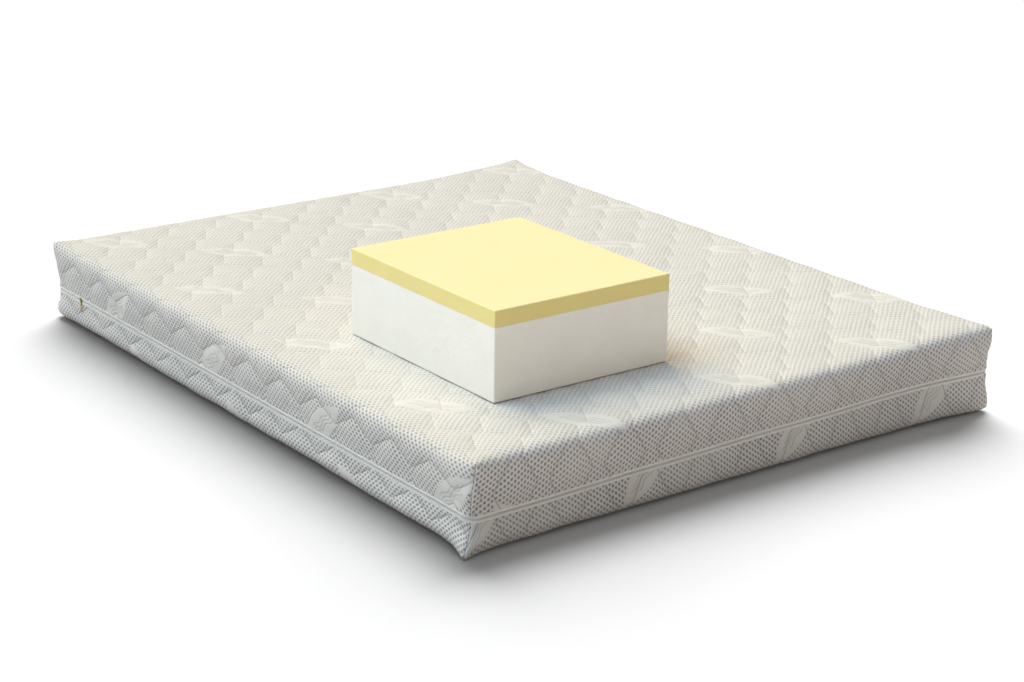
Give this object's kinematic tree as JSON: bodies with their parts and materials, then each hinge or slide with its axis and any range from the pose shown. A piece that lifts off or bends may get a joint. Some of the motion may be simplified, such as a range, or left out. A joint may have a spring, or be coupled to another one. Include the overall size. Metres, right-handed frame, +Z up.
{
  "type": "memory foam mattress",
  "caption": "Zipped quilted knit cover in two halves round a two-layer memory foam core, with a loose foam block of the same core lying on top.",
  "frame": {"origin": "middle of the mattress footprint, on the surface that it lies on", "axes": "+X across the bed, +Y along the bed towards the end by the zip slider, +Z up"},
  "size_m": [1.6, 2, 0.4393],
  "materials": {
    "knit": "matte",
    "wadding": "matte",
    "lining": "matte",
    "thread": "matte",
    "seam_thread": "matte",
    "zip_tape": "matte",
    "zip_coil": "satin",
    "zip_stop": "satin",
    "slider": "satin",
    "pull_tab": "satin",
    "base_foam": "matte",
    "memory_foam": "matte",
    "glue": "matte"
  },
  "bodies": {
    "cover_bottom": {"cover_bottom_face": "knit", "cover_bottom_wadding": "wadding", "cover_bottom_lining": "lining", "cover_bottom_quilt_threads": "thread", "cover_bottom_corner_seams": "seam_thread", "cover_bottom_zip_tape": "zip_tape", "cover_bottom_zip_coil": "zip_coil", "cover_bottom_zip_seam": "thread", "cover_bottom_zip_stops": "zip_stop"},
    "core": {"core_base_foam": "base_foam", "core_glue_line": "glue", "core_memory_foam": "memory_foam"},
    "cover_top": {"cover_top_face": "knit", "cover_top_wadding": "wadding", "cover_top_lining": "lining", "cover_top_quilt_threads": "thread", "cover_top_corner_seams": "seam_thread", "cover_top_zip_tape": "zip_tape", "cover_top_zip_coil": "zip_coil", "cover_top_zip_seam": "thread", "cover_top_zip_stops": "zip_stop"},
    "foam_sample": {"sample_base_foam": "base_foam", "sample_glue_line": "glue", "sample_memory_foam": "memory_foam"},
    "zip_slider": {"zip_slider_body": "slider"},
    "zip_pull": {"zip_pull_tab": "pull_tab"}
  },
  "joints": [
    {"name": "core_lift", "type": "slide", "parent": "cover_bottom", "child": "core", "axis": [0, 0, 1], "range_m": [0, 0.25]},
    {"name": "cover_top_lift", "type": "slide", "parent": "core", "child": "cover_top", "axis": [0, 0, 1], "range_m": [0, 0.3]},
    {"name": "sample_lift", "type": "slide", "parent": "cover_top", "child": "foam_sample", "axis": [0, 0, 1], "range_m": [0, 0.25]},
    {"name": "zip_slide", "type": "slide", "parent": "cover_bottom", "child": "zip_slider", "axis": [0, -1, 0], "range_m": [0, 1.775]},
    {"name": "pull_tab_flip", "type": "hinge", "parent": "zip_slider", "child": "zip_pull", "pos_m": [-0.7946, 0.838, 0.086], "axis": [0, 1, 0], "range_deg": [0, 160]}
  ]
}
